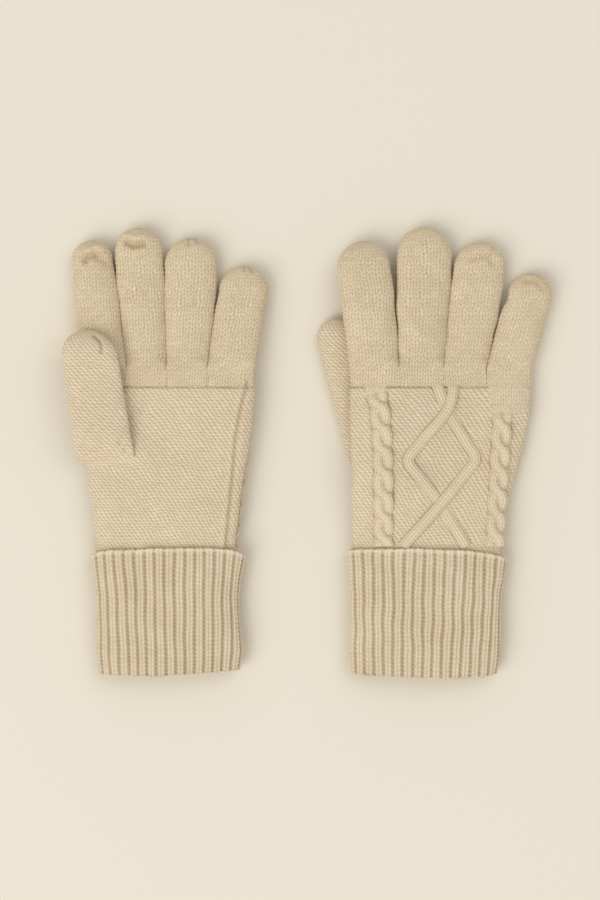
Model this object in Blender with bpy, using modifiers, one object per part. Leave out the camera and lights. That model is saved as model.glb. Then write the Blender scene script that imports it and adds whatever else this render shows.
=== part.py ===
"""A pair of knitted gloves lying flat: the left one palm up, the right one back up.

Metres, +Z up.  X runs across the pair, Y from the cuffs to the fingertips, and the
table is z = 0.  Every knitted piece is a flattened tube or a part of one.
"""
from math import acos, asin, copysign, cos, pi, sin, sqrt
from types import SimpleNamespace

import bmesh
import bpy
from mathutils import Vector

MM = 0.001

# ---- Sizes shared by both gloves -------------------------------------------------
WALL = 1.7 * MM                 # one layer of stockinette, all round the hand
RIB_WALL = 2.1 * MM             # one layer of the cuff's rib
GAP = 0.3 * MM                  # between pieces that touch
PANEL_GAP = 0.6 * MM            # between the palm panel and the back panel
FINGER_GAP = 0.9 * MM           # between neighbouring fingers at their roots
SQUARENESS = 2.6                # 2 is an ellipse, more is a flatter tube
SECTION_STEPS = 90              # along half a section, where a cable follows the back

HAND_HALF_HEIGHT = 6.3 * MM     # half the thickness of the palm, lying flat
WRIST_HALF_HEIGHT = 5.8 * MM
FINGER_HALF_HEIGHT = 6.3 * MM
THUMB_HALF_HEIGHT = 4.2 * MM

CUFF_LENGTH = 72.0 * MM         # from the fold at the bottom to the cast-off edge
CUFF_BOTTOM = -125.0 * MM       # the fold, along Y
LEG_HIDDEN = 4.0 * MM           # how far the rib leg's top lies inside the turn-up
PANEL_TOP = 37.5 * MM           # where the purl panels end and the plain knitting starts
BAND_HEIGHT = 9.2 * MM          # plain knitting between the panels and the fingers
PALM_STRIP = 6.5 * MM           # back panel that wraps round to the palm side

TURN_UP_CLEARANCE = 0.5 * MM    # between the rib leg and its turn-up
SETTLED = 0.2 * MM              # how far a cuff's underside is pressed flat by the table
EDGE_CORD_RADIUS = 1.1 * MM     # the cast-off row
THUMB_HOLE = (9.0 * MM, 9.0 * MM)    # half width and half length of the palm's thumb hole
THUMB_HOLE_PLACE = (5.0 * MM, 13.5 * MM)   # its middle, from the thumb's middle line and root
JOIN_CORD_RADIUS = 0.75 * MM    # the row picked up round the thumb hole
THUMB_HEEL = 5.5 * MM           # length of the thumb's rounded root

RELIEF_GAP = 0.6 * MM           # under a raised cable
RELIEF_HEIGHT = 1.5 * MM        # how proud a cable stands
ROPE_HALF_WIDTH = 5.9 * MM
CORD_HALF_WIDTH = 2.9 * MM
ROPE_FOOT = 4.0 * MM            # from the turned-up cuff to a rope cable's end
CORD_FOOT = 5.0 * MM            # and to a diamond cord's end

YARN_RADIUS = 0.55 * MM         # the yarn that draws a fingertip shut
TIP_RING_RADIUS = 1.6 * MM
TIP_RING_DEPTH = 7.0 * MM       # from the fingertip's outside to the ring

THUMB_LIFT_SIDE = 55.0 * MM     # how far across the hand the thumb under it lifts it
THUMB_LIFT_END = 62.0 * MM      # how far past the thumb's tip that lift dies away
PAIR_MIDDLE = Vector((1.07 * MM, 1.05 * MM, 0.0))   # taken off every place, to centre the pair

TURN_UP_TOP = CUFF_BOTTOM + CUFF_LENGTH
PANEL_BOTTOM = TURN_UP_TOP - LEG_HIDDEN
FINGER_ROOT = PANEL_TOP + GAP + BAND_HEIGHT + GAP

# ---- Sizes of each glove, about its own middle line ------------------------------
# A finger is its root's width, its widest width near the tip, the place of its tip
# along Y, the gap to the next finger at the tips, and where it bends (None is at
# its root).  The thumb's side of each glove is at -X.  A cable's route is given by
# points in the plan, and None stands for its foot above the turned-up cuff.


def finger(name, root_width, tip_width, tip_y, tip_gap, bend_y=None):
    return SimpleNamespace(
        name=name, root_width=root_width * MM, tip_width=tip_width * MM,
        tip_y=tip_y * MM, tip_gap=tip_gap * MM,
        bend_y=None if bend_y is None else bend_y * MM)


LEFT = SimpleNamespace(
    name="left", palm=1, x=-77.3 * MM,
    band_x=-0.3 * MM, wrist_x=-1.6 * MM, wrist_width=78.6 * MM,
    leg_x=0.5 * MM, leg_bottom_width=74.4 * MM,
    turn_up_x=-0.6 * MM, turn_up_flare=3.9 * MM,
    tips_x=0.7 * MM,
    thumb_root_x=-34.5 * MM, thumb_tip_x=-45.0 * MM, thumb_root_y=-2.5 * MM,
    thumb_tip_y=69.0 * MM, thumb_root_width=33.0 * MM, thumb_tip_width=30.5 * MM,
    fingers=(
        finger("index", 25.5, 23.2, 119.8, 0.9, bend_y=71.0),
        finger("middle", 21.2, 27.0, 126.8, 0.9),
        finger("ring", 21.6, 29.8, 121.0, 0.9),
        finger("little", 26.4, 27.4, 105.3, 0.0)),
    rope_x=((-21.0, 37.0), (-21.5, 10.0), (-24.0, None)),
    far_rope_x=((40.5, 30.0), (40.0, 10.0), (33.5, None)),
    diamond=((9.0, 35.0), (5.3, 24.6), (-7.0, 6.0), (-12.6, -3.5), (-6.2, -13.0),
             (4.4, -28.0), (15.5, None)),
    diamond_return=((1.6, 35.0), (5.3, 24.6), (18.0, 7.0), (23.4, -2.5), (16.6, -12.0),
                    (4.4, -28.0), (-8.0, None)))

RIGHT = SimpleNamespace(
    name="right", palm=-1, x=66.4 * MM,
    band_x=8.7 * MM, wrist_x=0.9 * MM, wrist_width=83.4 * MM,
    leg_x=-0.8 * MM, leg_bottom_width=77.6 * MM,
    turn_up_x=0.9 * MM, turn_up_flare=0.9 * MM,
    tips_x=11.0 * MM,
    thumb_root_x=-27.5 * MM, thumb_tip_x=-48.5 * MM, thumb_root_y=-4.0 * MM,
    thumb_tip_y=76.2 * MM, thumb_root_width=31.0 * MM, thumb_tip_width=30.0 * MM,
    fingers=(
        finger("index", 27.0, 29.6, 119.3, 4.2, bend_y=77.8),
        finger("middle", 24.0, 30.6, 127.1, 0.9),
        finger("ring", 23.0, 29.4, 118.7, 0.9),
        finger("little", 25.2, 25.0, 101.4, 0.0)),
    rope_x=((-28.0, 34.0), (-24.5, 10.0), (-23.5, None)),
    far_rope_x=((43.0, 23.0), (42.0, 5.0), (38.8, None)),
    diamond=((15.7, 35.0), (12.0, 24.6), (-3.2, 6.0), (-9.8, -3.5), (-3.4, -13.0),
             (8.2, -28.0), (20.5, None)),
    diamond_return=((6.2, 35.0), (12.0, 24.6), (22.4, 7.0), (27.8, -2.8), (21.4, -12.0),
                    (8.2, -28.0), (-9.5, None)))

# ---- Colours (linear) -------------------------------------------------------------
YARN = (0.630, 0.507, 0.335, 1.0)
PURL = (0.604, 0.480, 0.312, 1.0)
RIB = (0.590, 0.470, 0.305, 1.0)
TRIM = (0.680, 0.560, 0.390, 1.0)


# ---- Small maths ------------------------------------------------------------------
def ease(low, high, value):
    """0 below low, 1 above high, and a smooth rise between."""
    share = min(max((value - low) / (high - low), 0.0), 1.0)
    return share * share * (3.0 - 2.0 * share)


def mix(first, second, share):
    return first + (second - first) * share


def power(value, exponent):
    """The value's power, with its sign kept."""
    return copysign(abs(value) ** exponent, value)


def oval(half_width, half_height, angle):
    """A point of a flattened tube's section, measured from +X towards +Z."""
    exponent = 2.0 / SQUARENESS
    return half_width * power(cos(angle), exponent), half_height * power(sin(angle), exponent)


def oval_angle(half_width, x):
    """The angle on the upper half of a section at a distance x from its middle."""
    return acos(power(x / half_width, SQUARENESS / 2.0))


def smooth_route(points, share):
    """A point on the smooth curve through the route's own points."""
    place = share * (len(points) - 1)
    index = min(int(place), len(points) - 2)
    local = place - index
    near = points[max(index - 1, 0)], points[index], points[index + 1]
    near += (points[min(index + 2, len(points) - 1)],)
    return tuple(
        0.5 * (2.0 * b + (c - a) * local + (2.0 * a - 5.0 * b + 4.0 * c - d) * local ** 2
               + (3.0 * b - a - 3.0 * c + d) * local ** 3)
        for a, b, c, d in zip(*near))


# ---- The glove's outline and its thickness ------------------------------------------
def band_width(glove):
    widths = sum(each.root_width for each in glove.fingers)
    return widths + FINGER_GAP * (len(glove.fingers) - 1)


def hand_half_width(glove, y):
    share = ease(PANEL_BOTTOM, PANEL_TOP, y)
    return 0.5 * mix(glove.wrist_width, band_width(glove), share)


def hand_middle(glove, y):
    return glove.x + mix(glove.wrist_x, glove.band_x, ease(PANEL_BOTTOM, PANEL_TOP, y))


def hand_half_height(y):
    rise = ease(TURN_UP_TOP, TURN_UP_TOP + 25.0 * MM, y)
    return mix(WRIST_HALF_HEIGHT, HAND_HALF_HEIGHT, rise)


def turn_up_half_height():
    return WRIST_HALF_HEIGHT + TURN_UP_CLEARANCE + RIB_WALL


def cuff_middle_height():
    return turn_up_half_height() - SETTLED


def middle_height(glove, y):
    """Height of the middle of the flattened tube above the table."""
    cuff = cuff_middle_height()
    hand = HAND_HALF_HEIGHT + GAP
    if glove.palm > 0:
        hand += RELIEF_GAP + 2.0 * (RELIEF_HEIGHT + GAP)
    rise = mix(cuff, hand, ease(TURN_UP_TOP, TURN_UP_TOP + 22.0 * MM, y))
    return mix(rise, FINGER_HALF_HEIGHT + GAP, ease(PANEL_TOP, 2.9 * PANEL_TOP, y))


def raised(glove, x, y):
    """Extra height over a thumb that lies under the palm."""
    if glove.palm > 0:
        return 0.0
    start = glove.x + glove.thumb_root_x
    across = 1.0 - ease(start, start + THUMB_LIFT_SIDE, x)
    before = ease(TURN_UP_TOP, glove.thumb_root_y - 4.0 * MM, y)
    after = 1.0 - ease(glove.thumb_tip_y - 4.0 * MM, glove.thumb_tip_y + THUMB_LIFT_END, y)
    return 2.0 * THUMB_HALF_HEIGHT * across * before * after


def back_height(glove, x, y):
    """Height of the back's outer surface at a place in the plan."""
    share = abs(x - hand_middle(glove, y)) / hand_half_width(glove, y)
    reach = (1.0 - min(share, 1.0) ** SQUARENESS) ** (1.0 / SQUARENESS)
    return middle_height(glove, y) + raised(glove, x, y) - glove.palm * hand_half_height(y) * reach


# ---- Building pieces -----------------------------------------------------------------
parts = bpy.data.collections.new("knitted_gloves")
cutters = bpy.data.collections.new("cutters")


def knit_material(name, colour):
    material = bpy.data.materials.new(name)
    material.use_nodes = True
    shader = material.node_tree.nodes["Principled BSDF"]
    shader.inputs["Base Color"].default_value = colour
    shader.inputs["Roughness"].default_value = 0.9
    shader.inputs["Metallic"].default_value = 0.0
    return material


def keep(piece, name, colour, pivot=None, collection=parts):
    """Names a piece, gives it its own material and moves its origin onto its pivot."""
    piece.name = piece.data.name = name
    for other in list(piece.users_collection):
        other.objects.unlink(piece)
    collection.objects.link(piece)
    piece.data.materials.clear()
    piece.data.materials.append(knit_material(name, colour))
    pivot = piece.location.copy() if pivot is None else Vector(pivot)
    for vertex in piece.data.vertices:
        vertex.co += piece.location - pivot
    piece.location = pivot - PAIR_MIDDLE
    piece.data.shade_smooth()
    return piece


def wrapped(around, along, place):
    """A flat grid laid out by place(u, v), with the seams and poles that meet welded."""
    bpy.ops.mesh.primitive_grid_add(x_subdivisions=around, y_subdivisions=along, size=1.0)
    piece = bpy.context.object
    shape = bmesh.new()
    shape.from_mesh(piece.data)
    second = shape.verts.layers.float_vector.new("second_layer")
    for vertex in shape.verts:
        vertex.co, vertex[second] = place(vertex.co.x + 0.5, vertex.co.y + 0.5)
    bmesh.ops.remove_doubles(shape, verts=shape.verts, dist=1e-6)
    shape.to_mesh(piece.data)
    shape.free()
    return piece


def shell(around, along, place, wall):
    """A knitted wall: place(u, v, depth) gives its outside and, a wall deeper, its inside."""
    piece = wrapped(around, along, lambda u, v: (place(u, v, 0.0), place(u, v, wall)))
    inside = [Vector(each.vector) for each in piece.data.attributes["second_layer"].data]
    layer = piece.modifiers.new("wall", "SOLIDIFY")
    layer.thickness = wall
    layer.offset = -1.0
    bpy.ops.object.modifier_apply(modifier=layer.name)
    for vertex, spot in zip(piece.data.vertices[len(inside):], inside):
        vertex.co = spot
    return piece


def close_ends(piece):
    shape = bmesh.new()
    shape.from_mesh(piece.data)
    open_edges = [edge for edge in shape.edges if edge.is_boundary]
    bmesh.ops.holes_fill(shape, edges=open_edges, sides=0)
    bmesh.ops.recalc_face_normals(shape, faces=shape.faces)
    shape.to_mesh(piece.data)
    shape.free()
    return piece


def loop_of_yarn(points, radius, sides=1):
    """A closed ring of yarn through points worked out by a rule."""
    curve = bpy.data.curves.new("loop", "CURVE")
    curve.dimensions = "3D"
    curve.bevel_depth = radius
    curve.bevel_resolution = sides
    spline = curve.splines.new("POLY")
    spline.points.add(len(points) - 1)
    for target, point in zip(spline.points, points):
        target.co = (*point, 1.0)
    spline.use_cyclic_u = True
    loop = bpy.data.objects.new("loop", curve)
    bpy.context.scene.collection.objects.link(loop)
    evaluated = loop.evaluated_get(bpy.context.evaluated_depsgraph_get())
    mesh = bpy.data.meshes.new_from_object(evaluated)
    piece = bpy.data.objects.new("loop", mesh)
    bpy.context.scene.collection.objects.link(piece)
    bpy.data.objects.remove(loop)
    return piece


# ---- The hand -------------------------------------------------------------------------
def panel_rows(v, along):
    """Places the first row where the turn-up ends, and spreads the others above it."""
    first = (TURN_UP_TOP - PANEL_BOTTOM) / (PANEL_TOP - PANEL_BOTTOM)
    row = round(v * along)
    return 0.0 if row == 0 else mix(first, 1.0, (row - 1) / (along - 1))


def hand_strip(glove, y_range, angles, around, along):
    """A strip of the hand's flattened tube, between two angles of its section."""

    def place(u, v, depth):
        y = mix(y_range[0], y_range[1], panel_rows(v, along) if along > 1 else v)
        half_width, half_height = hand_half_width(glove, y), hand_half_height(y)
        first, last = angles(half_width, half_height)
        x, z = oval(half_width - depth, half_height - depth, mix(first, last, u))
        x += hand_middle(glove, y)
        return x, y, middle_height(glove, y) + raised(glove, x, y) + z

    return shell(around, along, place, WALL)


def panel_angles(glove, palm_side):
    """The angles that the palm panel or the back panel covers, from high to low."""

    def angles(half_width, half_height):
        side = asin(power(0.5 * PANEL_GAP / half_height, 0.5 * SQUARENESS))
        half_gap = -0.5 * PANEL_GAP if palm_side else 0.5 * PANEL_GAP
        edge = oval_angle(half_width, half_width - PALM_STRIP + half_gap)
        if glove.palm > 0:
            return (pi - side, edge) if palm_side else (edge, side - pi)
        return (-edge, side - pi) if palm_side else (pi - side, -edge)

    return angles


def thumb_hole_place(glove):
    """Middle of the thumb hole in the plan."""
    across, along = THUMB_HOLE_PLACE
    share = along / (glove.thumb_tip_y - glove.thumb_root_y)
    x = glove.x + mix(glove.thumb_root_x, glove.thumb_tip_x, share) + across
    return x, glove.thumb_root_y + along


def palm_height(glove, x, y):
    """Height of the palm's outer surface at a place in the plan."""
    middle = middle_height(glove, y) + raised(glove, x, y)
    return 2.0 * middle - back_height(glove, x, y)


def thumb_hole_cutter(glove):
    """An oval prism through the palm's wall and the thumb's underside, and no further."""
    x, y = thumb_hole_place(glove)
    inside = palm_height(glove, x, y) - glove.palm * HAND_HALF_HEIGHT
    height = abs(thumb_middle_height(glove) - inside)
    z = 0.5 * (thumb_middle_height(glove) + inside)
    bpy.ops.mesh.primitive_cylinder_add(vertices=24, radius=1.0, depth=height, location=(x, y, z))
    cutter = bpy.context.object
    cutter.scale = (THUMB_HOLE[0], THUMB_HOLE[1], 1.0)
    bpy.ops.object.transform_apply(location=False, rotation=False, scale=True)
    keep(cutter, f"{glove.name}_thumb_hole_cutter", TRIM, collection=cutters)
    cutter.hide_render = True
    cutter.display_type = "WIRE"
    return cutter


def cut(piece, cutter):
    hole = piece.modifiers.new("hole", "BOOLEAN")
    hole.operation = "DIFFERENCE"
    hole.object = cutter


def make_hand(glove, cutter):
    y_range = (PANEL_BOTTOM, PANEL_TOP)
    palm = hand_strip(glove, y_range, panel_angles(glove, True), 12, 9)
    cut(keep(palm, f"{glove.name}_palm_panel", PURL), cutter)
    back = hand_strip(glove, y_range, panel_angles(glove, False), 18, 9)
    keep(back, f"{glove.name}_back_panel", PURL)
    band_range = (PANEL_TOP + GAP, PANEL_TOP + GAP + BAND_HEIGHT)
    band = hand_strip(glove, band_range, lambda half_width, half_height: (pi, -pi), 24, 1)
    keep(band, f"{glove.name}_knuckle_band", YARN)


# ---- Fingers and thumb -------------------------------------------------------------------
def finger_lines(glove):
    """Each finger with the middle of its root and of its widest place, along X."""
    root = glove.x + glove.band_x - 0.5 * band_width(glove)
    tips = sum(each.tip_width + each.tip_gap for each in glove.fingers)
    tip = glove.x + glove.tips_x - 0.5 * tips
    for each in glove.fingers:
        yield each, root + 0.5 * each.root_width, tip + 0.5 * each.tip_width
        root += each.root_width + FINGER_GAP
        tip += each.tip_width + each.tip_gap


def finger_tube(glove, each, root_x, tip_x, y_range, along):
    """A finger's tube over part of its length, with a round end where it reaches the tip."""
    radius = 0.5 * each.tip_width
    widest = each.tip_y - radius

    def place(u, v, depth):
        y = mix(y_range[0], y_range[1], v)
        if y_range[1] == each.tip_y:
            y = mix(y_range[0], widest, min(2.0 * v, 1.0))
            y += (radius - depth) * sin(pi * max(v - 0.5, 0.0))
        share = min((y - FINGER_ROOT) / (widest - FINGER_ROOT), 1.0)
        end = sqrt(max(1.0 - (max(y - widest, 0.0) / (radius - depth)) ** 2, 0.0))
        half_width = 0.5 * mix(each.root_width, each.tip_width, share) - depth
        x, z = oval(half_width * end, (FINGER_HALF_HEIGHT - depth) * end, pi - 2.0 * pi * u)
        x += mix(root_x, tip_x, share)
        return x, y, middle_height(glove, y) + raised(glove, x, y) + z

    return shell(14, along, place, WALL)


def bend_pivot(glove, each, root_x, y):
    """The palm-side crease that a finger bends about."""
    half = 0.5 * each.root_width
    low = min(raised(glove, root_x - half, y), raised(glove, root_x + half, y))
    z = middle_height(glove, y) + low + glove.palm * FINGER_HALF_HEIGHT
    return root_x, y, z


def make_tip_ring(name, middle, across, pivot):
    """The drawn-up yarn inside a tip: a small ring round its middle, in the plane of across."""
    points = []
    for turn in range(8):
        angle = turn * pi / 4.0
        points.append(middle + TIP_RING_RADIUS * (Vector((cos(angle), 0.0, 0.0)) + sin(angle) * across))
    keep(loop_of_yarn(points, YARN_RADIUS, 0), name, TRIM, pivot)


def make_fingers(glove):
    for each, root_x, tip_x in finger_lines(glove):
        start = FINGER_ROOT
        if each.bend_y is not None:
            base = finger_tube(glove, each, root_x, tip_x, (start, each.bend_y), 2)
            keep(base, f"{glove.name}_{each.name}_finger_base", YARN)
            start = each.bend_y + GAP
        pivot = bend_pivot(glove, each, root_x, start - 0.5 * GAP)
        tube = finger_tube(glove, each, root_x, tip_x, (start, each.tip_y), 8)
        keep(tube, f"{glove.name}_{each.name}_finger", YARN, pivot)
        y = each.tip_y - TIP_RING_DEPTH
        middle = Vector((tip_x, y, middle_height(glove, y) + raised(glove, tip_x, y)))
        name = f"{glove.name}_{each.name}_tip_yarn"
        make_tip_ring(name, middle, Vector((0.0, 0.0, 1.0)), pivot)


def thumb_middle_height(glove):
    """The thumb lies on the palm, or under it on the table."""
    if glove.palm < 0:
        return THUMB_HALF_HEIGHT
    return middle_height(glove, PANEL_TOP) + HAND_HALF_HEIGHT + GAP + THUMB_HALF_HEIGHT


def thumb_pivot(glove):
    z = thumb_middle_height(glove) + glove.palm * THUMB_HALF_HEIGHT
    return glove.x + glove.thumb_root_x, glove.thumb_root_y, z


def make_thumb(glove, cutter):
    radius = 0.5 * glove.thumb_tip_width
    widest = glove.thumb_tip_y - radius
    heel = THUMB_HEEL
    length = glove.thumb_tip_y - glove.thumb_root_y

    def place(u, v, depth):
        y = mix(glove.thumb_root_y + heel, widest, min(max(v / 0.35 - 0.7, 0.0), 1.0))
        y -= (heel - depth) * cos(pi * min(2.0 * v, 0.5))
        y += (radius - depth) * sin(0.5 * pi * max(v - 0.6, 0.0) / 0.4)
        share = (y - glove.thumb_root_y) / length
        end = max(y - widest, 0.0) / (radius - depth)
        end += max(glove.thumb_root_y + heel - y, 0.0) / (heel - depth)
        end = sqrt(max(1.0 - end * end, 0.0))
        half_width = 0.5 * mix(glove.thumb_root_width, glove.thumb_tip_width, share) - depth
        x, z = oval(half_width * end, (THUMB_HALF_HEIGHT - depth) * end, pi - 2.0 * pi * u)
        x += glove.x + mix(glove.thumb_root_x, glove.thumb_tip_x, share)
        return x, y, thumb_middle_height(glove) + z

    thumb = shell(14, 10, place, WALL)
    cut(thumb, cutter)
    keep(thumb, f"{glove.name}_thumb", PURL, thumb_pivot(glove))
    y = glove.thumb_tip_y - TIP_RING_DEPTH
    x = glove.x + mix(glove.thumb_root_x, glove.thumb_tip_x, 1.0 - TIP_RING_DEPTH / length)
    middle = Vector((x, y, thumb_middle_height(glove)))
    make_tip_ring(f"{glove.name}_thumb_tip_yarn", middle, Vector((0.0, 1.0, 0.0)), thumb_pivot(glove))


def make_thumb_join(glove):
    """The row of stitches picked up round the inside of the thumb hole."""
    x, y = thumb_hole_place(glove)
    half_width = THUMB_HOLE[0] - GAP - JOIN_CORD_RADIUS
    half_length = THUMB_HOLE[1] - GAP - JOIN_CORD_RADIUS
    points = []
    for turn in range(16):
        angle = turn * pi / 8.0
        spot = x + half_width * cos(angle), y + half_length * sin(angle)
        points.append((*spot, palm_height(glove, *spot) - glove.palm * 0.5 * WALL))
    keep(loop_of_yarn(points, JOIN_CORD_RADIUS), f"{glove.name}_thumb_join", TRIM)


# ---- Cuff ---------------------------------------------------------------------------------
def rib_tube(glove, y_range, widths, middles, half_height):
    def place(u, v, depth):
        half_width = 0.5 * mix(*widths, v) - depth
        x, z = oval(half_width, half_height - depth, pi - 2.0 * pi * u)
        z = max(z, SETTLED - half_height)
        return glove.x + mix(*middles, v) + x, mix(*y_range, v), cuff_middle_height() + z

    return shell(28, 1, place, RIB_WALL)


def make_cuff(glove):
    around = 2.0 * (TURN_UP_CLEARANCE + RIB_WALL)
    leg_widths = glove.leg_bottom_width, glove.wrist_width
    middles = glove.leg_x, glove.wrist_x
    leg_top = PANEL_BOTTOM - GAP
    leg = rib_tube(glove, (CUFF_BOTTOM + RIB_WALL, leg_top), leg_widths, middles,
                   WRIST_HALF_HEIGHT)
    keep(leg, f"{glove.name}_cuff_leg", RIB)
    turn_up_top = TURN_UP_TOP - 2.0 * EDGE_CORD_RADIUS - GAP
    bottom_width = glove.leg_bottom_width + around
    top_width = glove.wrist_width + around + glove.turn_up_flare
    pivot = glove.x, CUFF_BOTTOM, cuff_middle_height()
    turn_up = rib_tube(glove, (CUFF_BOTTOM, turn_up_top), (bottom_width, top_width),
                       (glove.leg_x, glove.turn_up_x), turn_up_half_height())
    keep(turn_up, f"{glove.name}_cuff_turn_up", RIB, pivot)
    points = []
    for turn in range(28):
        x, z = oval(0.5 * top_width - EDGE_CORD_RADIUS, cuff_middle_height() - EDGE_CORD_RADIUS,
                    turn * pi / 14.0)
        points.append((glove.x + glove.turn_up_x + x, TURN_UP_TOP - EDGE_CORD_RADIUS,
                       cuff_middle_height() + z))
    keep(loop_of_yarn(points, EDGE_CORD_RADIUS, 0), f"{glove.name}_cuff_cast_off_edge", TRIM, pivot)


# ---- Raised cables on the back ----------------------------------------------------------------
def back_section(glove, y):
    """Points of the back's outer surface at y, from the thumb's side, with their arc length."""
    half_width, middle = hand_half_width(glove, y), hand_middle(glove, y)
    points, arc = [], 0.0
    for step in range(SECTION_STEPS + 1):
        x, z = oval(half_width, hand_half_height(y), pi - pi * step / SECTION_STEPS)
        x += middle
        z = middle_height(glove, y) + raised(glove, x, y) - glove.palm * z
        if points:
            arc += sqrt((x - points[-1][1]) ** 2 + (z - points[-1][2]) ** 2)
        points.append((arc, x, z))
    return points


def between(points, column, value):
    """The point of a section where one of its columns has a given value, and its slope."""
    for first, second in zip(points, points[1:]):
        if value <= second[column]:
            break
    share = (value - first[column]) / (second[column] - first[column])
    point = [mix(a, b, share) for a, b in zip(first, second)]
    slope = Vector((second[1] - first[1], second[2] - first[2])).normalized()
    return point, slope


def raised_strip(glove, route, half_width, stations, foot, crossing=None):
    """A strip with a domed outside that follows the back; it climbs over at a crossing."""
    route = [(glove.x + x * MM, TURN_UP_TOP + foot if y is None else y * MM) for x, y in route]

    def place(u, v):
        x, y = smooth_route(route, v)
        ahead = smooth_route(route, min(v + 0.01, 1.0))
        behind = smooth_route(route, max(v - 0.01, 0.0))
        run = (Vector(ahead) - Vector(behind)).normalized()
        angle = 2.0 * pi * u
        middle_arc = between(back_section(glove, y), 1, x)[0][0]
        y -= half_width * cos(angle) * run.x
        arc = middle_arc + half_width * cos(angle) * run.y
        point, slope = between(back_section(glove, y), 0, arc)
        rise = RELIEF_GAP + RELIEF_HEIGHT * max(sin(angle), 0.0)
        if crossing is not None:
            apart = abs(v * (len(route) - 1) - crossing)
            rise += (RELIEF_HEIGHT + 2.0 * GAP) * (1.0 - ease(0.35, 0.7, apart))
        rise *= glove.palm
        spot = point[1] + rise * slope.y, y, point[2] - rise * slope.x
        return spot, spot

    return close_ends(wrapped(8, stations, place))


def make_cables(glove):
    ropes = (("thumb_side_rope_cable", glove.rope_x), ("little_side_rope_cable", glove.far_rope_x))
    for name, route in ropes:
        keep(raised_strip(glove, route, ROPE_HALF_WIDTH, 9, ROPE_FOOT), f"{glove.name}_{name}", YARN)
    first = raised_strip(glove, glove.diamond, CORD_HALF_WIDTH, 20, CORD_FOOT, crossing=1)
    keep(first, f"{glove.name}_diamond_thumb_side_cord", YARN)
    second = raised_strip(glove, glove.diamond_return, CORD_HALF_WIDTH, 20, CORD_FOOT, crossing=5)
    keep(second, f"{glove.name}_diamond_little_side_cord", YARN)


def make_glove(glove):
    cutter = thumb_hole_cutter(glove)
    make_hand(glove, cutter)
    make_fingers(glove)
    make_thumb(glove, cutter)
    make_thumb_join(glove)
    make_cuff(glove)
    make_cables(glove)


for leftover in list(bpy.data.objects):
    bpy.data.objects.remove(leftover)
bpy.context.scene.collection.children.link(parts)
bpy.context.scene.collection.children.link(cutters)
for each_glove in (LEFT, RIGHT):
    make_glove(each_glove)
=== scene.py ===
from math import pi
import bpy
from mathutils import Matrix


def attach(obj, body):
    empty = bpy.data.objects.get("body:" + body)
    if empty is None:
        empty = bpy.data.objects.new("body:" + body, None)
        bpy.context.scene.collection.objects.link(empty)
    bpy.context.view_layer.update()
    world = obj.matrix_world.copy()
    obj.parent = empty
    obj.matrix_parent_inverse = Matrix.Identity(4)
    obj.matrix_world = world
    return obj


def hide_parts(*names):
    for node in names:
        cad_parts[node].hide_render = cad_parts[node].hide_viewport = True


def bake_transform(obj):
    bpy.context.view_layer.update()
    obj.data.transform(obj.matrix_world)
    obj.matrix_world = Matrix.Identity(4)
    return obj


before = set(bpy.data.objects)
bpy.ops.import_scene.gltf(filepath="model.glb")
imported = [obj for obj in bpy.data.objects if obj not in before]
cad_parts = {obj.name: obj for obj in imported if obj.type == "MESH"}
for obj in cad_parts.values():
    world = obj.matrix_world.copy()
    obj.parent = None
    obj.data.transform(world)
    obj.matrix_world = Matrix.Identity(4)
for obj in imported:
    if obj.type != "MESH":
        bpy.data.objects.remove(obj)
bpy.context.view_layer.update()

from types import SimpleNamespace

import bpy
import numpy as np
from mathutils import Vector

# A pair of knitted cable gloves lying flat: the left one palm up with its thumb across
# the palm, the right one back up with its thumb under the palm.  Every piece is a knitted
# surface whose stitches are raised in the mesh.  Lengths are in millimetres until a
# surface is laid down.  X runs across the pair and Y from the cuffs to the fingertips.

# ---- Sizes shared by both gloves --------------------------------------------------------
GAP = 0.3                       # left between the cuff and the hand, and under the fingers
FINGER_GAP = 0.9                # between neighbouring fingers at their roots
SQUARENESS = 2.6                # of a flattened tube's section
BAND_SQUARENESS = 12.0          # of a finger's share of the hand
FINGER_SQUARENESS = 2.3
PALM_DOWN_MIDDLE = 6.6          # height of the middle of a hand that lies palm down
PALM_UP_MIDDLE = 10.8
HAND_HALF_HEIGHT = 6.3
WRIST_HALF_HEIGHT = 5.8
FINGER_HALF_HEIGHT = 6.3
THUMB_HALF_HEIGHT = 4.2
RIB_WALL = 2.1
TURN_UP_CLEARANCE = 0.5
SETTLED = 0.2                   # how far a cuff's underside is pressed flat by the table
CUFF_BOTTOM = -125.0
TURN_UP_TOP = -53.0
PANEL_BOTTOM = -57.0
PANEL_TOP = 37.5                # where the purl ends and the plain knitting starts
FINGER_ROOT = 47.3
PALM_STRIP = 6.5                # back of the hand that wraps round to the palm side
THUMB_LIFT_SIDE = 55.0
THUMB_LIFT_END = 62.0
ROPE_HALF_WIDTH = 5.9
CORD_HALF_WIDTH = 3.35
PAIR_MIDDLE = np.array((1.07, 1.05, 0.0))
METRES = 0.001                  # in a millimetre
TABLE_CLEARANCE = 5e-5          # metres
WELD_DISTANCE = 2e-5            # metres

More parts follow.
